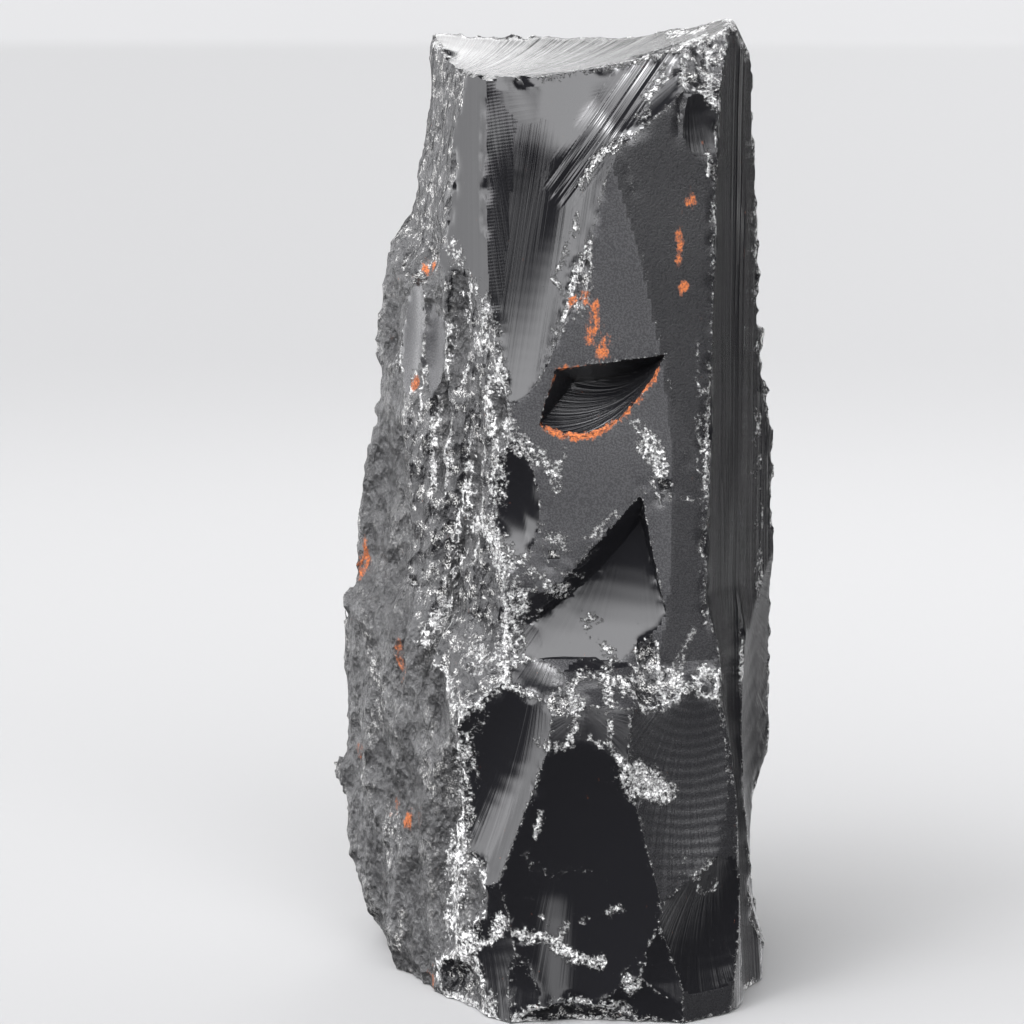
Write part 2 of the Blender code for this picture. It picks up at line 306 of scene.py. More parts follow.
CRUST = Dress(Finish.CRUST, worn=1.0)
FLUTED = Dress(Finish.FLUTED, ray=1.0, worn=0.6)
BROKEN = Dress(Finish.BROKEN, worn=1.0)

CRUSTED = (
    "left_rear", "foot_left", "foot_far_left", "left_flank", "left_side", "flank_upper",
    "rear_left_top", "rear_left_foot", "crack",
)
STREAKED = (
    "right", "right_face", "right_flute", "right_long_flute", "rear_right_top",
    "right_flute_low", "right_flute_high",
)
GLASSY = {
    "front": ((6, -40, 70), 0.3, 5.0, 0.2, 0.5),
    "top": ((38, 4, 216), 0.3, 4.0, 0.6, 0.9),
    "crown": ((-30, -34, 196), 0.25, 6.0, 1.0, 0.9),
    "crown_rear": ((20, 20, 216), 0.5, 4.0, 0.6, 0.6),
    "right_low_scoop": ((44, -14, 96), 0.4, 5.0, 0.5, 0.7),
    "right_waist": ((46, -12, 40), 0.4, 4.0, 0.3, 0.8),
    "edge_band": (None, 0.0, 3.0, 0.1, 0.0),
    "long_flute": (None, 0.05, 3.0, 0.3, 0.1),
    "left_flute": (None, 0.14, 0.7, 0.9, 0.0),
    "top_scoop": ((33, -20, 210), 0.1, 6.0, 0.05, 0.2),
    "notch": ((24, -26, 145), 0.2, 3.0, 0.5, 0.2),
    "side_scoop": ((-6, -30, 124), 0.2, 3.0, 0.05, 0.4),
    "middle_scoop": ((16, -30, 118), 0.12, 4.0, 0.05, 0.3),
    "ledge_scoop": ((2, -30, 98), 0.3, 3.0, 0.3, 0.7),
    "low_left": ((-2, -34, 86), 0.25, 4.0, 0.2, 0.2),
    "low_middle": ((8, -38, 78), 0.15, 5.0, 0.1, 0.2),
    "foot_flare": ((34, -32, 40), 0.4, 3.2, 0.3, 0.3),
    "foot_left_scoop": ((-18, -32, 42), 0.3, 3.0, 0.3, 0.3),
    "foot_chip": ((14, -42, 20), 0.4, 3.0, 0.3, 0.4),
    "back_top": ((14, 26, 214), 0.5, 6.0, 0.5, 0.5),
    "back_middle": ((-30, 28, 142), 0.6, 5.0, 0.4, 0.6),
    "back_side": ((24, 36, 118), 0.5, 5.0, 0.5, 0.5),
    "back_foot": ((-4, 40, 50), 0.6, 4.0, 0.4, 0.8),
    "back_high_left": ((-30, 22, 214), 0.6, 4.0, 0.5, 0.5),
    "back_low_left": ((-22, 34, 86), 0.5, 4.5, 0.4, 0.6),
    "back_right_middle": ((36, 20, 166), 0.5, 4.0, 0.5, 0.5),
    "back_right_low": ((28, 34, 58), 0.6, 4.0, 0.4, 0.7),
    "back_crest_chip": ((12, 34, 130), 0.5, 3.0, 0.4, 0.8),
    "back_high_chip": ((30, 20, 212), 0.5, 3.0, 0.4, 0.9),
    "edge_chip": ((46, 8, 184), 0.5, 2.5, 0.3, 1.0),
    "edge_nick": ((44, -8, 32), 0.5, 2.5, 0.3, 1.0),
    "corner_scar": ((29, -23, 205), 0.3, 3.0, 0.5, 0.7),
    "crown_flake": ((-16, 8, 214), 0.5, 2.5, 0.4, 0.8),
    "low_left_sliver": ((-8, -38, 58), 0.2, 3.0, 0.3, 0.2),
    "foot_facet_01": ((-6, -40, 24), 0.3, 3.0, 0.3, 0.4),
    "foot_facet_02": ((6, -42, 22), 0.3, 3.0, 0.3, 0.4),
    "foot_facet_03": ((24, -40, 28), 0.3, 3.0, 0.3, 0.4),
}
DRESSES = {
    "foot": Dress(Finish.CRUST, worn=0.4),
    "front_right": Dress(Finish.SATIN, (30, -30, 74), 0.3, 4.0, 0.3, 0.3, 0.3),
    "right_side": Dress(Finish.SATIN, None, 0.0, 3.0, 0.6, 1.0),
    "back_left": Dress(Finish.SATIN, None, 0.0, 3.0, 0.4, 0.8),
    "back_right": Dress(Finish.SATIN, None, 0.0, 3.0, 0.4, 0.8),
    "flank_gloss_high": Dress(Finish.SATIN, worn=0.3, tone=0.9),
    "flank_gloss_low": Dress(Finish.SATIN, worn=0.3, tone=0.9),
    # The panels' paleness is partly painted sheen: lighter on the left panel, darker on the right
    # and low ones, as the light falls on them.
    "panel": Dress(Finish.SATIN, worn=0.2, tone=0.35),
    "panel_right": Dress(Finish.SATIN, worn=0.2, tone=0.2),
    "panel_low": Dress(Finish.SATIN, worn=0.1, tone=0.15),
    "panel_left": Dress(Finish.SATIN, worn=0.2, tone=1.0),
    "low_right": Dress(Finish.SATIN, (30, -33, 78), 0.8, 2.2, 0.4, 0.25, 0.3),
    "rear_right_foot": Dress(Finish.SATIN, (44, 22, 84), 0.6, 4.0, 0.4, 0.8),
}
DRESSES |= {name: Dress(Finish.GLASS, *values) for name, values in GLASSY.items()}
DRESSES |= dict.fromkeys(STREAKED, FLUTED) | dict.fromkeys(CRUSTED, CRUST)

HACKLES_TOP = (21.5, 209.0)
HACKLES_FOOT = (-1.0, 177.5)
HACKLES_HALF = 4.0

MELTED = (
    (("long_flute", "left_flute", "top_scoop"), 7.0),
    (("panel", "panel_right"), 5.0),
    (("right_face", "right_flute", "right_long_flute", "right_flute_low", "right_flute_high"), 3.0),
    (("crown", "crown_corner"), 2.0),
)


def dress_of(name: str) -> Dress:
    """The dress of a surface: grain pits are crust, and what isn't listed is broken glass."""
    return DRESSES.get(name, CRUST if "grain" in name else BROKEN)


@dataclass(frozen=True)
class Stain:
    """A patch of orange iron stain: its middle and its reach up and across."""

    at: Triple
    tall: float
    wide: float
    strength: float = 1.0


STAINS = (
    Stain((-29, 2.5, 161.4), 3.0, 3.4),
    Stain((-31.9, -1.3, 135.4), 2.6, 2.2),
    Stain((-12.8, -23.5, 128.1), 5.0, 1.5, 0.7),
    Stain((-44.2, 13.1, 91.3), 7.0, 3.0),
    Stain((-35.4, -7.6, 72.5), 7.5, 2.4),
    Stain((-46.5, 9.6, 48.3), 4.0, 2.6),
    Stain((-37.3, -4.6, 40.3), 5.0, 2.4),
    Stain((-33.5, -8.5, 37.0), 3.0, 1.8),
    Stain((-28.1, -18.4, 3.0), 4.0, 3.0, 0.7),
    Stain((-24, -18, 70), 4.0, 1.6, 0.6),
    Stain((3.4, -24, 156.0), 3.0, 1.6, 0.9),
    Stain((6.2, -24, 156.5), 3.0, 1.5, 0.9),
    Stain((8.2, -24, 151.9), 6.0, 2.1),
    Stain((7.0, -24, 147.4), 2.2, 1.7, 0.8),
    Stain((9.8, -24, 145.7), 3.6, 2.6),
    Stain((17.5, -22.5, 177.5), 2.4, 1.4),
    Stain((28.5, -22.5, 177.0), 2.4, 1.6),
    Stain((26.0, -22.8, 168.0), 6.0, 1.3, 0.9),
    Stain((27.0, -24.0, 159.0), 2.0, 1.6),
    Stain((3.0, -29.0, 112.5), 3.4, 1.6, 0.7),
    Stain((38.2, -15.3, 25.9), 3.6, 2.2),
    Stain((31.0, -20.0, 186.0), 4.0, 1.6, 0.6),
    Stain((-48, 20, 120), 9.0, 4.0, 0.8),
    Stain((-20, 33, 20), 6.0, 5.0, 0.6),
)


@dataclass(frozen=True)
class Bruise:
    """A run of crushed, whitened glass on the front: a path of (x, z) places."""

    path: tuple
    wide: float
    strength: float = 0.9

    def cover(self, points: np.ndarray) -> np.ndarray:
        """How crushed each point is, 0 to 1, by its distance from the path."""
        flat = points[:, [0, 2]]
        far = np.full(len(points), 99.0)
        for start, end in zip(self.path, self.path[1:]):
            start, run = np.array(start, float), np.subtract(end, start).astype(float)
            share = np.clip((flat - start) @ run / (run @ run), 0.0, 1.0)
            far = np.minimum(far, np.linalg.norm(flat - start - share[:, None] * run, axis=1))
        return self.strength * (1.0 - soft_step(far, 0.35 * self.wide, 1.5 * self.wide))


BRUISES = (
    Bruise(((27.5, 210), (36, 215.5)), 3.4, 1.0),
    Bruise(((30.5, 208.5), (28, 212)), 4.0, 1.0),
    Bruise(((23.5, 205), (19.5, 199), (15, 192.5), (10.5, 187.5), (5.5, 180.5)), 1.7),
    Bruise(((28, 207.5), (32.5, 203.5), (33.5, 196)), 1.5),
    Bruise(((31, 189), (32.5, 183)), 1.8, 0.8),
    Bruise(((5, 174), (1, 163.5), (0, 159), (-1.5, 145)), 1.0, 0.75),
    Bruise(((-12, 131), (-7, 124.5), (-1.5, 121), (0, 116)), 1.8, 0.8),
    Bruise(((1.5, 124), (-2, 118)), 1.4, 0.7),
    Bruise(((18, 128.5), (19.5, 124.5), (22.5, 121), (26, 116.5), (29.5, 114.5)), 1.9),
    Bruise(((12.5, 110), (8.5, 106), (5.5, 104.5)), 0.9, 0.8),
    Bruise(((-1.5, 105), (2.5, 103.5)), 2.0, 0.85),
    Bruise(((0, 98), (5, 96.5)), 0.9, 0.7),
    Bruise(((-16.5, 107), (-12, 100.5), (-9, 95), (-7, 88.5), (-9, 82)), 3.2, 0.8),
    Bruise(((-5.5, 96.5), (1, 92.5)), 2.4, 0.8),
    Bruise(((7, 86.5), (10, 80.5), (12.5, 74.5), (15.5, 73.5)), 1.9),
    Bruise(((13, 73.5), (25.5, 73.5), (31.5, 73)), 1.1),
    Bruise(((29.5, 85), (26.5, 76)), 0.8, 0.8),
    Bruise(((30.5, 147.5), (30.5, 128), (30, 115)), 0.7, 0.75),
    Bruise(((32, 109.5), (32, 85)), 0.7, 0.7),
    Bruise(((10, 77), (11.5, 70), (11.5, 64), (14.5, 57)), 1.2),
    Bruise(((16, 55.5), (23, 50)), 3.4, 1.0),
    Bruise(((4, 75.5), (7.5, 76)), 1.2, 0.8),
    Bruise(((4, 74.5), (3.5, 66), (2, 62.5), (-1, 60)), 1.5, 0.85),
    Bruise(((-3, 66), (-4, 62)), 1.6, 0.8),
    Bruise(((7, 64), (9.5, 62)), 1.3, 0.8),
    Bruise(((-3, 46), (-4.5, 42), (-7, 36)), 1.1, 1.0),
    Bruise(((-11, 34), (-8, 33.5), (-8.5, 29.5)), 1.0, 0.8),
    Bruise(((-6, 34), (0.5, 33), (7.5, 33.5), (12.5, 31.5)), 1.4, 0.4),
    Bruise(((-11.5, 22), (-15, 16.5), (-18.5, 13.5)), 1.8, 0.95),
    Bruise(((-8, 20), (-2.5, 18), (2.5, 14.5), (10, 14), (14.5, 12.5), (16.5, 8.5)), 1.9, 0.95),
    Bruise(((-8, 26), (-4, 25), (-1, 22)), 0.8, 0.7),
    Bruise(((2.5, 22), (-1.5, 17)), 1.1),
    Bruise(((6, 22), (13, 25)), 1.0, 0.85),
    Bruise(((24.5, 36.5), (27, 33.5), (30.5, 39.5)), 1.0, 0.85),
    Bruise(((28.5, 32), (32.5, 28)), 0.7, 0.7),
    Bruise(((34, 29), (35, 29.5)), 1.4, 0.8),
    Bruise(((-16.5, 79), (-20, 50.5), (-22, 29), (-21.5, 15), (-13, 2)), 3.0, 0.75),
    Bruise(((-22.5, 166.5), (-16.5, 153), (-12, 130.5), (-12.5, 113)), 3.0, 0.75),
    Bruise(((45.5, 172), (47.5, 146), (47, 128), (46, 115), (48, 106), (46.5, 84)), 1.8, 0.75),
)


class Lattice:
    """Smooth, repeatable noise read from a wrapped block of seeded numbers."""

    SIDE = 64

    def __init__(self, seed: int) -> None:
        """Args: seed picks the block."""
        numbers = np.random.default_rng(seed)
        self.block = numbers.uniform(-1.0, 1.0, self.SIDE ** 3)

    def __call__(self, places: np.ndarray) -> np.ndarray:
        """Noise between -1 and 1.

        Args:
            places: positions in units of the noise's own size, one row each.

        Returns:
            One value for each place.
        """
        whole = np.floor(places).astype(np.int64)
        part = places - whole
        part = part * part * (3.0 - 2.0 * part)
        low = whole % self.SIDE
        high = (whole + 1) % self.SIDE
        total = np.zeros(len(places))
        for x, y, z in np.ndindex(2, 2, 2):
            cell = (high if x else low)[:, 0]
            cell = cell * self.SIDE + (high if y else low)[:, 1]
            cell = cell * self.SIDE + (high if z else low)[:, 2]
            weight = part[:, 0] if x else 1.0 - part[:, 0]
            weight = weight * (part[:, 1] if y else 1.0 - part[:, 1])
            weight = weight * (part[:, 2] if z else 1.0 - part[:, 2])
            total += weight * self.block[cell]
        return total


RAGGED = Lattice(71)


def bruised(points: np.ndarray) -> np.ndarray:
    """How crushed the front is at each point, 0 to 1, with ragged edges and gaps."""
    amount = np.zeros(len(points))
    front = np.flatnonzero(points[:, 1] < 9.0)
    where = points[front]
    shift = np.stack([RAGGED(where / 3.1 + 40.0 * axis) for axis in range(3)], 1)
    ragged = where + 1.5 * shift
    for bruise in BRUISES:
        amount[front] = np.maximum(amount[front], bruise.cover(ragged))
    amount[front] *= soft_step(RAGGED(where / 4.3 + 7.0), -0.75, 0.05)
    return amount


class Scallops(Lattice):
    """Shallow shell-shaped dishes with sharp ridges between, as broken glass has."""

    def __init__(self, seed: int) -> None:
        """Args: seed picks where the dishes lie and how deep each is."""
        super().__init__(seed)
        self.shift = np.random.default_rng(seed + 1).uniform(-0.38, 0.38, (self.SIDE ** 3, 3))

    def __call__(self, places: np.ndarray) -> np.ndarray:
        """Depth of the dishes, about -1 on the ridges to 1 in the deepest."""
        base = np.floor(places).astype(np.int64)
        best = np.full(len(places), -9.0)
        for corner in np.ndindex(2, 2, 2):
            spot = base + np.array(corner)
            cell = spot % self.SIDE
            cell = (cell[:, 0] * self.SIDE + cell[:, 1]) * self.SIDE + cell[:, 2]
            away = places - spot - self.shift[cell]
            best = np.maximum(best, self.block[cell] * 0.7 - 1.7 * (away * away).sum(1))
        return best + 0.5


@dataclass
class Stone:
    """The solid stone as a field: negative in the glass, positive outside."""

    wave_mm: float = 15.0
    wave_high: float = 0.25
    splinter_mm: Triple = (8.0, 8.0, 22.0)
    splinter_high: float = 2.1
    crumb_mm: Triple = (3.6, 3.6, 6.5)
    crumb_high: float = 0.65
    bite_mm: float = 3.1
    bite_high: float = 0.95
    bite_reach: float = 2.4
    surfaces: list[Scar] = field(default_factory=list)
    waves: Lattice = field(default_factory=lambda: Lattice(11))
    luck: Lattice = field(default_factory=lambda: Lattice(19))
    splinters: Scallops = field(default_factory=lambda: Scallops(23))
    crumbs: Scallops = field(default_factory=lambda: Scallops(37))
    bites: Scallops = field(default_factory=lambda: Scallops(53))

    def __post_init__(self) -> None:
        """Lines the surfaces up with their dresses and groups the melted ones."""
        self.surfaces = [*FACES, *DOMES, *SCARS, *PITS]
        self.dresses = [dress_of(s.name) for s in self.surfaces]
        self.finish = np.array([d.finish.value for d in self.dresses])
        self.worn = np.array([d.worn for d in self.dresses])
        number = {s.name: i for i, s in enumerate(self.surfaces)}
        self.units = [([number[name] for name in names], soft) for names, soft in MELTED]
        grouped = {i for members, _ in self.units for i in members}
        alone = [([i], 0.0) for i in range(len(self.surfaces)) if i not in grouped]
        self.units = alone + self.units

    def relief(self, points: np.ndarray) -> dict[Finish, np.ndarray]:
        """How far each finish stands in from its smooth surface at these points."""
        wave = self.waves(points / self.wave_mm) * self.wave_high
        splinter = self.splinters(points / np.array(self.splinter_mm)) * self.splinter_high
        crumb = self.crumbs(points / np.array(self.crumb_mm)) * self.crumb_high
        return {
            Finish.GLASS: wave * 0.6,
            Finish.SATIN: wave,
            Finish.FLUTED: wave,
            Finish.CRUST: wave + splinter + crumb,
            Finish.BROKEN: wave + 0.4 * splinter + 0.7 * crumb,
        }

    def unit(self, members: list[int], soft: float,
             points: np.ndarray) -> tuple[np.ndarray, np.ndarray]:
        """The height of one surface, or of a group that flows together.

        Args:
            members: the numbers of its surfaces.
            soft: how widely the members flow into each other, in millimetres.
            points: places, one row each.

        Returns:
            The height, and the number of the member that rules at each point.
        """
        height, ruler = None, None
        for number in members:
            rise = self.surfaces[number].rise(points)
            if height is None:
                height, ruler = rise, np.full(len(points), number)
                continue
            ruler = np.where(rise > height, number, ruler)
            blend = np.maximum(soft - np.abs(rise - height), 0.0)
            height = np.maximum(rise, height) + blend * blend / (4.0 * soft)
        return height, ruler

    def near(self, members: list[int], points: np.ndarray) -> np.ndarray:
        """The rows of the points that a unit can reach."""
        mask = np.zeros(len(points), bool)
        for number in members:
            scar = self.surfaces[number]
            if scar.deep <= 0 or scar.long > 60:
                return np.arange(len(points))
            reach = 1.6 * max(scar.long, scar.wide) + 5.0
            away = points - np.array(scar.at)
            mask |= (away * away).sum(1) < reach * reach
        return np.flatnonzero(mask)

    def measure(self, points: np.ndarray) -> tuple[np.ndarray, np.ndarray, np.ndarray, np.ndarray]:
        """The field and which surfaces rule it.

        Args:
            points: places in millimetres, one row each.

        Returns:
            The field, the distance to the nearest sharp ridge, and the numbers of the
            surfaces on both sides of it.
        """
        count = len(points)
        first, second = np.full(count, -1e3), np.full(count, -1e3)
        ruler, runner = np.zeros(count, np.int16), np.zeros(count, np.int16)
        relief = self.relief(points)
        for members, soft in self.units:
            rows = self.near(members, points)
            if not len(rows):
                continue
            height, member = self.unit(members, soft, points[rows])
            if members != [0]:
                height = height + relief[self.dresses[members[0]].finish][rows]
            top, low = first[rows], second[rows]
            wins, places = height > top, height > low
            second[rows] = np.where(wins, top, np.where(places, height, low))
            runner[rows] = np.where(wins, ruler[rows], np.where(places, member, runner[rows]))
            first[rows] = np.where(wins, height, top)
            ruler[rows] = np.where(wins, member, ruler[rows])
        ridge = np.full(count, 99.0)
        close = np.flatnonzero(first - second < 8.0)
        turn = self.turn(points[close], ruler[close], runner[close])
        ridge[close] = ((first - second)[close] / np.maximum(turn, 0.02)
                        + 9.0 * (1.0 - soft_step(turn, 0.22, 0.5)))
        edge = np.flatnonzero((ridge < self.bite_reach) & (ruler > 0) & (runner > 0))
        if len(edge):
            where = points[edge]
            worn = np.maximum(self.worn[ruler[edge]], self.worn[runner[edge]])
            luck = soft_step(self.luck(where / 9.0) + worn * 1.4, 0.3, 1.3)
            luck = np.maximum(luck, bruised(where))
            bite = np.maximum(self.bites(where / self.bite_mm) + 0.25, 0.0)
            fade = 1.0 - soft_step(ridge[edge], 0.0, self.bite_reach)
            first[edge] += self.bite_high * luck * fade * bite
        return first, ridge, ruler, runner

    def turn(self, points: np.ndarray, ruler: np.ndarray, runner: np.ndarray) -> np.ndarray:
        """How sharply two surfaces meet: 0 for one flowing into the other, 1.4 for square."""
        difference = np.zeros((len(points), 3))
        for numbers, sign in ((ruler, 1.0), (runner, -1.0)):
            for number in np.unique(numbers):
                mine = numbers == number
                difference[mine] += sign * self.surfaces[number].slope(points[mine])
        return np.linalg.norm(difference, axis=1)

    def field_in_parts(self, points: np.ndarray, part: int = 40000) -> list[np.ndarray]:
        """Measures many points a part at a time, which keeps memory small."""
        found = [self.measure(points[i:i + part]) for i in range(0, len(points), part)]
        return [np.concatenate(column) for column in zip(*found)]


@dataclass
class Mesher:
    """Meshes a stone on a lattice, one point to a crossed cell, set on its ridges."""

    low: Triple = (-53.0, -47.0, -2.1)
    high: Triple = (53.5, 46.0, 219.5)
    step: Triple = (0.92, 1.15, 0.97)
    coarse: int = 4
    reach: float = 8.0
    nudge: float = 0.04
    pull: float = 0.06

    def lattice(self, every: int) -> list[np.ndarray]:
        """The lattice lines along each axis, or every so many of them."""
        lines = []
        for low, high, step in zip(self.low, self.high, self.step):
            cells = math.ceil((high - low) / step / self.coarse) * self.coarse
            lines.append(low + step * np.arange(0, cells + 1, every))
        return lines

    def sample(self, stone: Stone) -> tuple[list[np.ndarray], np.ndarray]:
        """Fills the lattice: exactly near the surface, by sign elsewhere."""
        rough = self.lattice(self.coarse)
        corners = np.stack(np.meshgrid(*rough, indexing="ij"), -1).reshape(-1, 3)
        coarse = stone.field_in_parts(corners)[0].reshape([len(r) for r in rough])
        size = np.abs(coarse)
        for axis in range(3):
            size = np.minimum(np.take(size, range(size.shape[axis] - 1), axis),
                              np.take(size, range(1, size.shape[axis]), axis))
        near = size < self.reach
        for axis in range(3):
            near = np.repeat(near, self.coarse, axis)
        lines = self.lattice(1)
        shape = [len(line) for line in lines]
        wanted = np.zeros(shape, bool)
        for x, y, z in np.ndindex(2, 2, 2):
            wanted[x:x + near.shape[0], y:y + near.shape[1], z:z + near.shape[2]] |= near
        filled = coarse
        for axis in range(3):
            picks = (np.arange(shape[axis]) + self.coarse // 2) // self.coarse
            picks = np.minimum(picks, filled.shape[axis] - 1)
            filled = np.take(filled, picks, axis)
        spots = np.argwhere(wanted)
        points = np.stack([lines[a][spots[:, a]] for a in range(3)], 1)
        filled[wanted] = stone.field_in_parts(points)[0]
        return lines, filled

    def crossings(self, lines: list[np.ndarray], values: np.ndarray,
                  axis: int) -> tuple[np.ndarray, np.ndarray, np.ndarray]:
        """Where the surface crosses the lattice lines of one axis.

        Args:
            lines: the lattice lines along each axis.
            values: the field on the lattice.
            axis: the axis to follow.

        Returns:
            The lower lattice spot of each crossing, its place, and whether the glass
            is on its lower side.
        """
        inside = values < 0
        count = values.shape[axis]
        lower = np.take(inside, range(count - 1), axis)
        upper = np.take(inside, range(1, count), axis)
        spots = np.argwhere(lower != upper)
        beyond = spots.copy()
        beyond[:, axis] += 1
        first = values[tuple(spots.T)]
        last = values[tuple(beyond.T)]
        share = first / (first - last)
        places = np.stack([lines[a][spots[:, a]] for a in range(3)], 1)
        places[:, axis] += share * self.step[axis]
        return spots, places, first < 0

    def build(self, stone: Stone) -> tuple[np.ndarray, np.ndarray]:
        """Meshes the stone.

        Args:
            stone: the field to mesh.

        Returns:
            The points in millimetres, and the corners of each four-sided face.
        """
        lines, values = self.sample(stone)
        cells = np.array([len(line) - 1 for line in lines])
        number = np.full(cells, -1, np.int64)
        crossed, places, quads_of = [], [], []
        for axis in range(3):
            spots, where, glass_low = self.crossings(lines, values, axis)
            u, v = (axis + 1) % 3, (axis + 2) % 3
            ring = []
            for du, dv in ((0, 0), (-1, 0), (-1, -1), (0, -1)):
                cell = spots.copy()
                cell[:, u] += du
                cell[:, v] += dv
                ring.append(cell)
            crossed.append(ring)
            places.append(where)
            quads_of.append(glass_low)
        every = np.concatenate(places)
        here = stone.field_in_parts(every)[0]
        slopes = np.stack([
            stone.field_in_parts(every + self.nudge * np.eye(3)[a])[0] - here for a in range(3)
        ], 1) / self.nudge
        slopes /= np.maximum(np.linalg.norm(slopes, axis=1, keepdims=True), 1e-9)
        flat_cells, rows = [], []
        start = 0
        for ring, where in zip(crossed, places):
            span = np.arange(start, start + len(where))
            start += len(where)
            for cell in ring:
                flat_cells.append(np.ravel_multi_index(tuple(cell.T), cells))
                rows.append(span)
        flat = np.concatenate(flat_cells)
        row = np.concatenate(rows)
        used, index = np.unique(flat, return_inverse=True)
        number.reshape(-1)[used] = np.arange(len(used))
        points = self.place(len(used), index, every[row], slopes[row], used, cells, lines)
        quads = []
        for ring, glass_low in zip(crossed, quads_of):
            corners = np.stack([number[tuple(cell.T)] for cell in ring], 1)
            quads.append(np.where(glass_low[:, None], corners, corners[:, ::-1]))
        return points, np.concatenate(quads)

    def place(self, count: int, index: np.ndarray, where: np.ndarray, slope: np.ndarray,
              used: np.ndarray, cells: np.ndarray, lines: list[np.ndarray]) -> np.ndarray:
        """Puts each cell's point where the planes of its crossings meet best."""
        hits = np.bincount(index, minlength=count)[:, None]
        middle = np.stack([np.bincount(index, where[:, a], count) for a in range(3)], 1) / hits
        offset = where - middle[index]
        reach = (slope * offset).sum(1)
        square = np.empty((count, 3, 3))
        right = np.empty((count, 3))
        for a in range(3):
            right[:, a] = np.bincount(index, slope[:, a] * reach, count)
            for b in range(3):
                square[:, a, b] = np.bincount(index, slope[:, a] * slope[:, b], count)
        square += self.pull * np.eye(3) * hits[:, :, None]
        points = middle + np.linalg.solve(square, right[:, :, None])[:, :, 0]
        spots = np.stack(np.unravel_index(used, tuple(cells)), 1)
        for a in range(3):
            edge = lines[a][spots[:, a]]
            points[:, a] = np.clip(points[:, a], edge, edge + self.step[a])
        return points


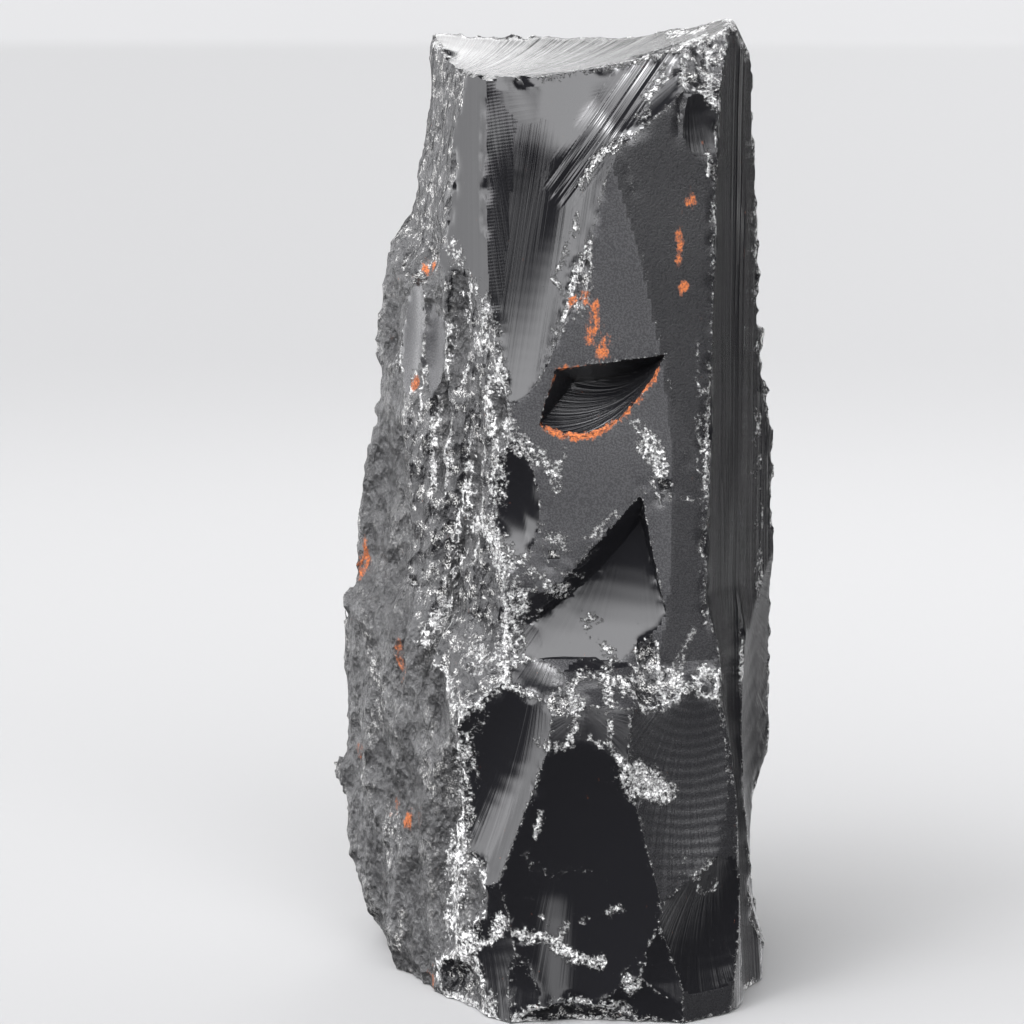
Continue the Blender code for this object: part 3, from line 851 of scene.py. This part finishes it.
@dataclass
class Chunk:
    """The obsidian chunk: one meshed stone with its finishes painted on its faces."""

    stone: Stone = field(default_factory=Stone)
    mesher: Mesher = field(default_factory=Mesher)
    crease: float = 24.0

    def biggest_shell(self, points: np.ndarray, quads: np.ndarray) -> np.ndarray:
        """Keeps the faces of the largest connected shell, dropping loose crumbs."""
        label = np.arange(len(points))
        while True:
            lowest = label[quads].min(1)
            fresh = label.copy()
            for corner in range(4):
                np.minimum.at(fresh, quads[:, corner], lowest)
            fresh = fresh[fresh]
            if (fresh == label).all():
                break
            label = fresh
        shells, sizes = np.unique(label[quads[:, 0]], return_counts=True)
        return quads[label[quads[:, 0]] == shells[sizes.argmax()]]

    def build(self) -> bpy.types.Object:
        """Meshes, paints and dresses the stone."""
        points, quads = self.mesher.build(self.stone)
        quads = self.biggest_shell(points, quads)
        keep, quads = np.unique(quads, return_inverse=True)
        quads = quads.reshape(-1, 4)
        points = points[keep]
        mesh = bpy.data.meshes.new(NODE + "_glass")
        mesh.from_pydata((points * MM).tolist(), [], quads.tolist())
        self.paint(mesh, points, quads)
        mesh.polygons.foreach_set("use_smooth", np.ones(len(quads), bool))
        mesh.set_sharp_from_angle(angle=math.radians(self.crease))
        chunk = bpy.data.objects.new(NODE + "_glass", mesh)
        bpy.context.scene.collection.objects.link(chunk)
        mesh.materials.append(ObsidianFinish().make())
        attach(chunk, BODY)
        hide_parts(NODE)
        log.info("%s: %d points, %d faces", chunk.name, len(points), len(quads))
        return chunk

    def paint(self, mesh: bpy.types.Mesh, points: np.ndarray, quads: np.ndarray) -> None:
        """Writes the finishes as attributes that the material reads."""
        stone = self.stone
        middles = points[quads].mean(1)
        ruler = stone.field_in_parts(middles)[2]
        _, ridge, _, runner = stone.field_in_parts(points)
        finish = stone.finish[ruler]
        ripple, ray = self.strike_marks(points, quads, ruler)
        strength = np.array([[d.ripple, d.ray] for d in stone.dresses])[ruler]
        hackled = self.hackles(points)[quads]
        ray_high = np.repeat(strength[:, 1:], 4, axis=1) * (1.0 - hackled)
        crust_relief = stone.relief(points)[Finish.CRUST]
        painted = {kind.name.lower(): np.repeat(finish == kind.value, 4)
                   for kind in Finish if kind is not Finish.GLASS}
        painted |= {
            # satin paleness of each surface, partly its own grey and partly painted sheen
            "tone": np.repeat(np.array([d.tone for d in stone.dresses])[ruler], 4),
            # crushed white glass, and thin ridge lines that are partly painted highlight
            "frost_and_ridge_highlight": self.crushing_and_ridge_highlight(points, quads, ruler, runner, ridge),
            # 1 on the crust's crests, falling in its pits, where it dims the pale flecks as painted
            # shade
            "pit_shade": (1.0 - soft_step(crust_relief, -0.9, 0.7))[quads],
            "stain": self.stains(points)[quads],
            "ripple": ripple,
            "ripple_high": np.repeat(strength[:, 0], 4),
            "ray": ray,
            "ray_high": ray_high,
            "hackle": hackled,
        }
        for name, values in painted.items():
            layer = mesh.attributes.new(name, "FLOAT", "CORNER")
            flat = np.ascontiguousarray(values, np.float32).reshape(-1)
            layer.data.foreach_set("value", flat)

    def crushing_and_ridge_highlight(self, points: np.ndarray, quads: np.ndarray, ruler: np.ndarray,
                 runner: np.ndarray, ridge: np.ndarray) -> np.ndarray:
        """How crushed and white the glass is at each face corner, with a thin pale line along every
        ridge that is partly chipped glass and partly a painted highlight.

        Args:
            points: the mesh's points.
            quads: the four points of each face.
            ruler: the surface that each face lies on.
            runner: the surface across the nearest ridge from each point.
            ridge: the distance of each point to that ridge.

        Returns:
            A value from 0 to 1 for each corner, four to a face.
        """
        stone, bark = self.stone, Finish.CRUST.value
        ridge, beyond = ridge[quads], runner[quads]
        worn = np.maximum(stone.worn[beyond], stone.worn[ruler][:, None])
        luck = stone.luck(points / 9.0)[quads]
        crushed = soft_step(luck + worn * 1.4, 0.2, 1.4) * (1.0 - soft_step(ridge, 0.0, 2.4))
        on_crust = (stone.finish[ruler] == bark)[:, None]
        to_crust = stone.finish[beyond] == bark
        inside = on_crust & to_crust
        crushed = np.where(inside, 0.15 * crushed, crushed)
        # A thin pale line along every ridge: partly chipped glass, partly a painted highlight where
        # the ridges catch the light.
        edge = 0.62 * (1.0 - soft_step(ridge, 0.0, 0.9))
        crushed = np.maximum(crushed, np.where(inside, 0.4 * edge, edge))
        sugar = 0.60 * (1.0 - soft_step(ridge, 0.5, 6.0))
        high_left = soft_step(points[:, 2], 145.0, 160.0)
        high_left = high_left * (points[:, 0] < -4.0) * (points[:, 2] < 207.0)
        calm = 1.0 - 0.8 * high_left[quads]
        crushed, sugar = crushed * calm, sugar * calm
        rim = on_crust & ~to_crust & (ruler > 0)[:, None]
        crushed = np.where(rim, np.maximum(crushed, sugar), crushed)
        return np.maximum(crushed, bruised(points)[quads])

    def hackles(self, points: np.ndarray) -> np.ndarray:
        """Strength of the straight ridges down the right of the upper hollow, 0 to 1."""
        far = np.array(HACKLES_TOP) - np.array(HACKLES_FOOT)
        flat = points[:, [0, 2]] - np.array(HACKLES_FOOT)
        share = flat @ far / (far @ far)
        aside = np.abs(flat @ np.array([far[1], -far[0]])) / np.linalg.norm(far)
        inside = 1.0 - soft_step(aside, HACKLES_HALF - 1.6, HACKLES_HALF + 1.2)
        inside = inside * soft_step(share, -0.05, 0.12) * (points[:, 1] < -5.0)
        return inside * (share < 1.2)

    def strike_marks(self, points: np.ndarray, quads: np.ndarray,
                     ruler: np.ndarray) -> tuple[np.ndarray, np.ndarray]:
        """Distance from the blow, counted in ripples, and the place across the rays."""
        ripple = np.zeros(quads.shape)
        ray = np.zeros(quads.shape)
        for number in np.unique(ruler):
            scar, dress = self.stone.surfaces[number], self.stone.dresses[number]
            mine = ruler == number
            out, long, wide = scar.axes()
            where = points[quads[mine]]
            if dress.struck is None:
                away = where - np.array(scar.at)
                ripple[mine] = (away @ long) / dress.ripple_mm
                ray[mine] = away @ wide
            else:
                away = where - np.array(dress.struck)
                ripple[mine] = np.linalg.norm(away, axis=-1) / dress.ripple_mm
                ray[mine] = np.arctan2(away @ wide, -(away @ long)) * 40.0
            ray[mine] += number * 13.7
        return ripple, ray

    def stains(self, points: np.ndarray) -> np.ndarray:
        """Iron stain at each point, from the patches and the notch's lower lip."""
        amount = np.zeros(len(points))
        for stain in STAINS:
            away = points - np.array(stain.at)
            flat = (away[:, 0] ** 2 + away[:, 1] ** 2) / stain.wide ** 2
            far = np.sqrt(flat + away[:, 2] ** 2 / stain.tall ** 2)
            amount = np.maximum(amount, stain.strength * (1.0 - soft_step(far, 0.3, 1.5)))
        notch = next(s for s in SCARS if s.name == "notch")
        panel = next(s for s in SCARS if s.name == "panel_left")
        lip = np.abs(notch.rise(points)) + np.abs(panel.rise(points))
        low = soft_step(143.5 - points[:, 2], 0.0, 2.0) * (np.abs(points[:, 0] - 9) < 15)
        wall = points[:, 0] + 3.4 - 0.28 * (points[:, 2] - 134.0)
        low = low * (points[:, 1] < -20) * soft_step(wall, 0.5, 1.8)
        return np.maximum(amount, low * (1.0 - soft_step(lip, 0.3, 1.5)))


class Nodes:
    """Short calls that add and join shader nodes."""

    def __init__(self, material: bpy.types.Material) -> None:
        """Args: material is the one to build in."""
        self.tree = material.node_tree

    def add(self, kind: str, **settings: object) -> bpy.types.Node:
        """A new node of a kind, with its settings."""
        made = self.tree.nodes.new(kind)
        for name, value in settings.items():
            setattr(made, name, value)
        return made

    def put(self, socket: bpy.types.NodeSocket, value: object) -> None:
        """Links or sets an input."""
        if isinstance(value, bpy.types.NodeSocket):
            self.tree.links.new(value, socket)
        else:
            socket.default_value = value

    def sums(self, operation: str, *values: object,
             clamp: bool = False) -> bpy.types.NodeSocket:
        """The result of a Math node."""
        made = self.add("ShaderNodeMath", operation=operation, use_clamp=clamp)
        for socket, value in zip(made.inputs, values):
            self.put(socket, value)
        return made.outputs[0]

    def times(self, first: object, second: object) -> bpy.types.NodeSocket:
        """The product of two numbers."""
        return self.sums("MULTIPLY", first, second)

    def plus(self, first: object, second: object) -> bpy.types.NodeSocket:
        """The sum of two numbers."""
        return self.sums("ADD", first, second)

    def minus(self, first: object, second: object) -> bpy.types.NodeSocket:
        """The first number less the second."""
        return self.sums("SUBTRACT", first, second)

    def ramp(self, value: object, low: float, high: float,
             out_low: float = 0.0, out_high: float = 1.0) -> bpy.types.NodeSocket:
        """A smooth step of a value from out_low to out_high."""
        made = self.add("ShaderNodeMapRange", interpolation_type="SMOOTHSTEP")
        for name, number in zip(("Value", "From Min", "From Max", "To Min", "To Max"),
                                (value, low, high, out_low, out_high)):
            self.put(made.inputs[name], number)
        return made.outputs[0]

    def attribute(self, name: str) -> bpy.types.NodeSocket:
        """A painted number."""
        return self.add("ShaderNodeAttribute", attribute_name=name).outputs["Fac"]

    def noise(self, vector: object, scale: float, detail: float = 3.0,
              rough: float = 0.55) -> bpy.types.NodeSocket:
        """Cloud noise, 0 to 1."""
        made = self.add("ShaderNodeTexNoise", noise_dimensions="3D")
        self.put(made.inputs["Vector"], vector)
        made.inputs["Scale"].default_value = scale
        made.inputs["Detail"].default_value = detail
        made.inputs["Roughness"].default_value = rough
        return made.outputs["Fac"]

    def streaks(self, where: object, scale: float, detail: float = 4.0) -> bpy.types.NodeSocket:
        """Noise along one number, 0 to 1."""
        made = self.add("ShaderNodeTexNoise", noise_dimensions="1D")
        self.put(made.inputs["W"], where)
        made.inputs["Scale"].default_value = scale
        made.inputs["Detail"].default_value = detail
        made.inputs["Roughness"].default_value = 0.6
        return made.outputs["Fac"]

    def shards(self, vector: object, scale: float) -> bpy.types.NodeSocket:
        """Cells of broken glass: 0 in the middle of each, rising to its edges."""
        made = self.add("ShaderNodeTexVoronoi", voronoi_dimensions="3D", feature="F1")
        self.put(made.inputs["Vector"], vector)
        made.inputs["Scale"].default_value = scale
        return made.outputs["Distance"]

    def facets(self, vector: object, scale: float) -> bpy.types.NodeSocket:
        """Cells of broken glass, each with a brightness of its own, 0 to 1."""
        made = self.add("ShaderNodeTexVoronoi", voronoi_dimensions="3D", feature="F1")
        self.put(made.inputs["Vector"], vector)
        made.inputs["Scale"].default_value = scale
        parts = self.add("ShaderNodeSeparateColor")
        self.put(parts.inputs[0], made.outputs["Color"])
        return parts.outputs[0]

    def mix(self, share: object, low: object, high: object) -> bpy.types.NodeSocket:
        """A mix of two colours."""
        made = self.add("ShaderNodeMix", data_type="RGBA")
        self.put(made.inputs[0], share)
        self.put(made.inputs[6], low)
        self.put(made.inputs[7], high)
        return made.outputs[2]

    def blend(self, share: object, low: object, high: object) -> bpy.types.NodeSocket:
        """A mix of two numbers."""
        made = self.add("ShaderNodeMix", data_type="FLOAT")
        self.put(made.inputs[0], share)
        self.put(made.inputs[2], low)
        self.put(made.inputs[3], high)
        return made.outputs[0]


@dataclass(frozen=True)
class ObsidianFinish:
    """Black glass, from mirror-smooth scars to weathered crust and crushed edges, with painted
    sheen on satin, painted shade in crust pits and painted highlights along ridges.
    """

    glass: tuple = (0.006, 0.006, 0.007, 1.0)
    satin: tuple = (0.040, 0.040, 0.042, 1.0)
    crust_dark: tuple = (0.030, 0.030, 0.031, 1.0)
    crust_pale: tuple = (0.46, 0.455, 0.44, 1.0)
    frost_and_ridge_highlight: tuple = (0.85, 0.85, 0.84, 1.0)
    frost_dim: tuple = (0.16, 0.16, 0.16, 1.0)
    rust: tuple = (0.42, 0.115, 0.025, 1.0)
    rust_dark: tuple = (0.12, 0.03, 0.012, 1.0)
    index: float = 1.5

    def make(self) -> bpy.types.Material:
        """Builds the material."""
        material = bpy.data.materials.new("obsidian_glass")
        material.use_nodes = True
        nodes = Nodes(material)
        shader = material.node_tree.nodes["Principled BSDF"]
        shader.inputs["IOR"].default_value = self.index
        parts = self.patterns(nodes)
        nodes.put(shader.inputs["Base Color"], self.colour(nodes, parts))
        nodes.put(shader.inputs["Roughness"], self.gloss(nodes, parts))
        nodes.put(shader.inputs["Normal"], self.bumps(nodes, parts))
        return material

    def patterns(self, nodes: Nodes) -> dict[str, bpy.types.NodeSocket]:
        """The painted masks and the noises that colour, gloss and bumps share."""
        parts = {name: nodes.attribute(name)
                 for name in ("crust", "satin", "broken", "fluted", "frost_and_ridge_highlight", "stain")}
        # The crushed mask also holds the thin ridge lines, which are partly painted highlight.
        crushed, stain = parts["frost_and_ridge_highlight"], parts["stain"]
        where = nodes.add("ShaderNodeTexCoord").outputs["Object"]
        stretched = nodes.add("ShaderNodeVectorMath", operation="MULTIPLY")
        nodes.put(stretched.inputs[0], where)
        stretched.inputs[1].default_value = (1.0, 1.0, 0.6)
        grained = stretched.outputs[0]
        grains = nodes.noise(grained, 620.0, 5.0, 0.7)
        flecks = nodes.noise(where, 2300.0, 2.0, 0.6)
        sprinkle = nodes.noise(where, 950.0, 6.0, 0.75)
        uneven = nodes.times(nodes.minus(sprinkle, 0.5), 3.2)
        frost_and_ridge_highlight = nodes.ramp(nodes.plus(crushed, uneven), 0.60, 0.95)
        rusty = nodes.times(nodes.minus(grains, 0.5), 3.0)
        return parts | {
            "where": where,
            "grained": grained,
            "grains": grains,
            "flecks": flecks,
            "coarse": nodes.noise(where, 420.0, 5.0, 0.65),
            "fine": nodes.noise(where, 2600.0, 3.0, 0.6),
            "frost_and_ridge_highlight": nodes.times(frost_and_ridge_highlight, nodes.ramp(flecks, 0.34, 0.54, 0.3, 1.0)),
            "rust": nodes.ramp(nodes.plus(stain, rusty), 0.55, 0.95),
        }

    def colour(self, nodes: Nodes, parts: dict[str, bpy.types.NodeSocket]) -> bpy.types.NodeSocket:
        """The base colour: black glass, satin with painted sheen, crust with painted shade in its
        pits, crumbs, white crushing with painted ridge highlights, and rust.
        """
        grains, flecks, fine = parts["grains"], parts["flecks"], parts["fine"]
        patches = nodes.noise(parts["grained"], 110.0, 4.0, 0.65)
        pale = nodes.times(nodes.ramp(grains, 0.46, 0.60, 0.05, 1.0),
                           nodes.ramp(flecks, 0.48, 0.60, 0.08, 1.0))
        pale = nodes.times(pale, nodes.ramp(patches, 0.42, 0.60, 0.06, 1.0))
        # Pale crust flecks are dimmed to a quarter in the pits of the crust: painted shade in the
        # pits.
        pit_shade = nodes.sums("ADD", nodes.attribute("pit_shade"), 0.25, clamp=True)
        bark = nodes.mix(nodes.times(pale, pit_shade), self.crust_dark, self.crust_pale)
        grey = nodes.mix(nodes.ramp(fine, 0.30, 0.70, 0.6, 1.0), self.glass, self.satin)
        # Satin paleness per surface: partly the satin's own grey, partly painted sheen that
        # lightens some panels and darkens others as the light falls on them.
        grey = nodes.mix(nodes.attribute("tone"), self.glass, grey)
        colour = nodes.mix(parts["satin"], self.glass, grey)
        colour = nodes.mix(parts["crust"], colour, bark)
        crumbs = nodes.times(nodes.ramp(parts["coarse"], 0.5, 0.65), nodes.ramp(fine, 0.45, 0.6))
        colour = nodes.mix(nodes.times(parts["broken"], crumbs), colour, self.crust_pale)
        glint = nodes.sums("POWER", nodes.facets(parts["where"], 1900.0), 0.7)
        white = nodes.mix(glint, self.frost_dim, self.frost_and_ridge_highlight)
        # White crushing, and the thin ridge lines that are partly painted highlight.
        colour = nodes.mix(parts["frost_and_ridge_highlight"], colour, white)
        orange = nodes.mix(nodes.ramp(fine, 0.35, 0.65), self.rust_dark, self.rust)
        return nodes.mix(parts["rust"], colour, orange)

    def gloss(self, nodes: Nodes, parts: dict[str, bpy.types.NodeSocket]) -> bpy.types.NodeSocket:
        """The roughness of each finish, laid over the one before."""
        gloss = nodes.blend(parts["satin"], 0.05, nodes.ramp(parts["fine"], 0.3, 0.7, 0.18, 0.36))
        bark = nodes.ramp(parts["grains"], 0.35, 0.65, 0.12, 0.42)
        for name, value in (("fluted", 0.08), ("broken", 0.16), ("crust", bark),
                            ("frost_and_ridge_highlight", 0.6), ("rust", 0.85)):
            gloss = nodes.blend(parts[name], gloss, value)
        return gloss

    def bumps(self, nodes: Nodes, parts: dict[str, bpy.types.NodeSocket]) -> bpy.types.NodeSocket:
        """The bent normal: ripples, rays, hackles, satin grain and rough crust."""
        where, grained, broken = parts["where"], parts["grained"], parts["broken"]
        wobble = nodes.times(nodes.noise(where, 60.0, 2.0), 0.8)
        wave = nodes.times(nodes.plus(nodes.attribute("ripple"), wobble), math.tau)
        wave = nodes.times(nodes.sums("SINE", wave), nodes.attribute("ripple_high"))
        ray = nodes.times(nodes.streaks(nodes.attribute("ray"), 0.8, 5.0),
                          nodes.attribute("ray_high"))
        along = nodes.add("ShaderNodeVectorMath", operation="DOT_PRODUCT")
        nodes.put(along.inputs[0], where)
        along.inputs[1].default_value = (814.0, 0.0, -581.0)
        stripes = nodes.minus(nodes.streaks(along.outputs["Value"], 0.5, 1.6), 0.5)
        rough = nodes.sums("MAXIMUM", parts["frost_and_ridge_highlight"], nodes.times(broken, 0.5))
        rough = nodes.sums("MAXIMUM", parts["crust"], rough)
        lumpy = nodes.sums("MAXIMUM", parts["crust"], broken)
        height = nodes.times(wave, 0.000035)
        for relief, high in (
            (ray, 0.0004),
            (nodes.times(stripes, nodes.attribute("hackle")), 0.0014),
            (nodes.times(parts["fine"], parts["satin"]), 0.00007),
            (nodes.times(parts["grains"], rough), 0.0012),
            (nodes.times(nodes.shards(grained, 900.0), rough), 0.0005),
            (nodes.times(nodes.shards(grained, 340.0), lumpy), 0.0012),
        ):
            height = nodes.plus(height, nodes.times(relief, high))
        bump = nodes.add("ShaderNodeBump")
        bump.inputs["Strength"].default_value = 1.0
        bump.inputs["Distance"].default_value = 1.0
        nodes.put(bump.inputs["Height"], height)
        return bump.outputs[0]


@dataclass(frozen=True)
class Window:
    """A soft window of light: its middle, half-sizes and fade in degrees, and strength."""

    azimuth: float
    elevation: float
    wide: float
    high: float
    fade: float
    strength: float


WINDOWS = (
    Window(-6, 40, 50, 24, 9, 6.5),
    Window(-66, 58, 38, 16, 9, 6.5),
    Window(-60, 56, 16, 7, 4, 20.0),
    Window(-64, 10, 19, 9, 5, 5.0),
    Window(14, 5, 6, 11, 4, 2.5),
    Window(-112, 8, 34, 27, 8, 3.2),
    Window(135, 28, 40, 14, 12, 2.2),
    Window(150, -26, 52, 10, 8, 1.3),
)


@dataclass
class Studio:
    """The pale floor, the soft lights and the camera."""

    lens: float = 100.0
    sensor: float = 36.0
    distance: float = 0.640
    elevation: float = 10.0
    aim: Triple = (-0.0096, 0.0, 0.106)
    floor_side: float = 60.0

    def floor(self) -> None:
        """A wide pale floor under the stone, which rises at its rim."""
        work = bmesh.new()
        bmesh.ops.create_grid(work, x_segments=8, y_segments=8, size=self.floor_side / 2)
        for corner in work.verts:
            if max(abs(corner.co.x), abs(corner.co.y)) > 0.49 * self.floor_side:
                corner.co.z = 4.0
        for face in work.faces:
            face.smooth = True
        mesh = bpy.data.meshes.new("floor")
        work.to_mesh(mesh)
        work.free()
        plane = bpy.data.objects.new("floor", mesh)
        bpy.context.scene.collection.objects.link(plane)
        plane.location.z = -0.0002
        plane.visible_glossy = False
        material = bpy.data.materials.new("floor_pale")
        material.use_nodes = True
        shader = material.node_tree.nodes["Principled BSDF"]
        shader.inputs["Base Color"].default_value = (0.25, 0.25, 0.25, 1.0)
        shader.inputs["Roughness"].default_value = 0.7
        mesh.materials.append(material)

    def lamp(self, name: str, azimuth: float, elevation: float, away: float,
             size: tuple[float, float], power: float) -> None:
        """One softbox facing the stone.

        Args:
            name: what the lamp is called.
            azimuth: where it stands round the stone, in degrees.
            elevation: how high it stands, in degrees.
            away: its distance, in metres.
            size: its width and height, in metres.
            power: its power, in watts.
        """
        light = bpy.data.lights.new(name, "AREA")
        light.shape = "RECTANGLE"
        light.size, light.size_y = size
        light.energy = power
        lamp = bpy.data.objects.new(name, light)
        bpy.context.scene.collection.objects.link(lamp)
        centre = Vector((0.0, 0.0, 0.11))
        back = Vector(looking(azimuth, elevation).tolist())
        lamp.location = centre + back * away
        lamp.rotation_mode = "QUATERNION"
        lamp.rotation_quaternion = (-back).to_track_quat("-Z", "Y")
        lamp.visible_camera = False

    def lights(self) -> None:
        """The softboxes behind and beside the stone."""
        self.lamp("softbox_back", 182, 40, 0.85, (0.80, 0.33), 3.0)
        self.lamp("softbox_right", 134, 8, 0.75, (0.12, 0.60), 0.25)
        bpy.context.scene.view_settings.view_transform = "Standard"

    def room(self) -> None:
        """The dim room with its soft windows of light, which fade out at their rims."""
        world = bpy.data.worlds.new("room")
        world.use_nodes = True
        nodes = Nodes(world)
        way = nodes.add("ShaderNodeSeparateXYZ")
        nodes.put(way.inputs[0], nodes.add("ShaderNodeTexCoord").outputs["Generated"])
        x, y, z = way.outputs
        azimuth = nodes.sums("ARCTAN2", x, nodes.times(y, -1.0))
        elevation = nodes.sums("ARCSINE", z)
        light = 0.07
        for window in WINDOWS:
            glow = window.strength
            for angle, middle, half in ((azimuth, window.azimuth, window.wide),
                                        (elevation, window.elevation, window.high)):
                off = nodes.sums("ABSOLUTE", nodes.minus(angle, math.radians(middle)))
                off = nodes.sums("MINIMUM", off, nodes.minus(math.tau, off))
                inner, outer = math.radians(half - window.fade), math.radians(half + window.fade)
                glow = nodes.times(glow, nodes.ramp(off, inner, outer, 1.0, 0.0))
            light = nodes.plus(light, glow)
        shade = world.node_tree.nodes["Background"]
        shade.inputs["Color"].default_value = (1.0, 1.0, 1.02, 1.0)
        nodes.put(shade.inputs["Strength"], light)
        bpy.context.scene.world = world

    def camera(self) -> None:
        """The camera, at the stone's height and a little above it."""
        lens = bpy.data.cameras.new("camera")
        lens.lens = self.lens
        lens.sensor_width = self.sensor
        lens.clip_start, lens.clip_end = 0.01, 50.0
        camera = bpy.data.objects.new("camera", lens)
        bpy.context.scene.collection.objects.link(camera)
        back = Vector(looking(0.0, self.elevation).tolist())
        camera.location = Vector(self.aim) + back * self.distance
        camera.rotation_mode = "QUATERNION"
        camera.rotation_quaternion = (-back).to_track_quat("-Z", "Y")
        bpy.context.scene.camera = camera

    def build(self) -> None:
        """Sets the whole studio up."""
        self.floor()
        self.lights()
        self.room()
        self.camera()
        log.info("studio: floor, lights and camera")


def corners(box: tuple[Vector, Vector]) -> list[list[float]]:
    """A box as plain lists of numbers."""
    return [list(corner) for corner in box]


def main() -> None:
    """Builds the stone, then the studio round it."""
    logging.basicConfig(level=logging.INFO, format="%(name)s: %(message)s")
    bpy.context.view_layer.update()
    Chunk().build()
    Studio().build()


if __name__ == "__main__":
    main()
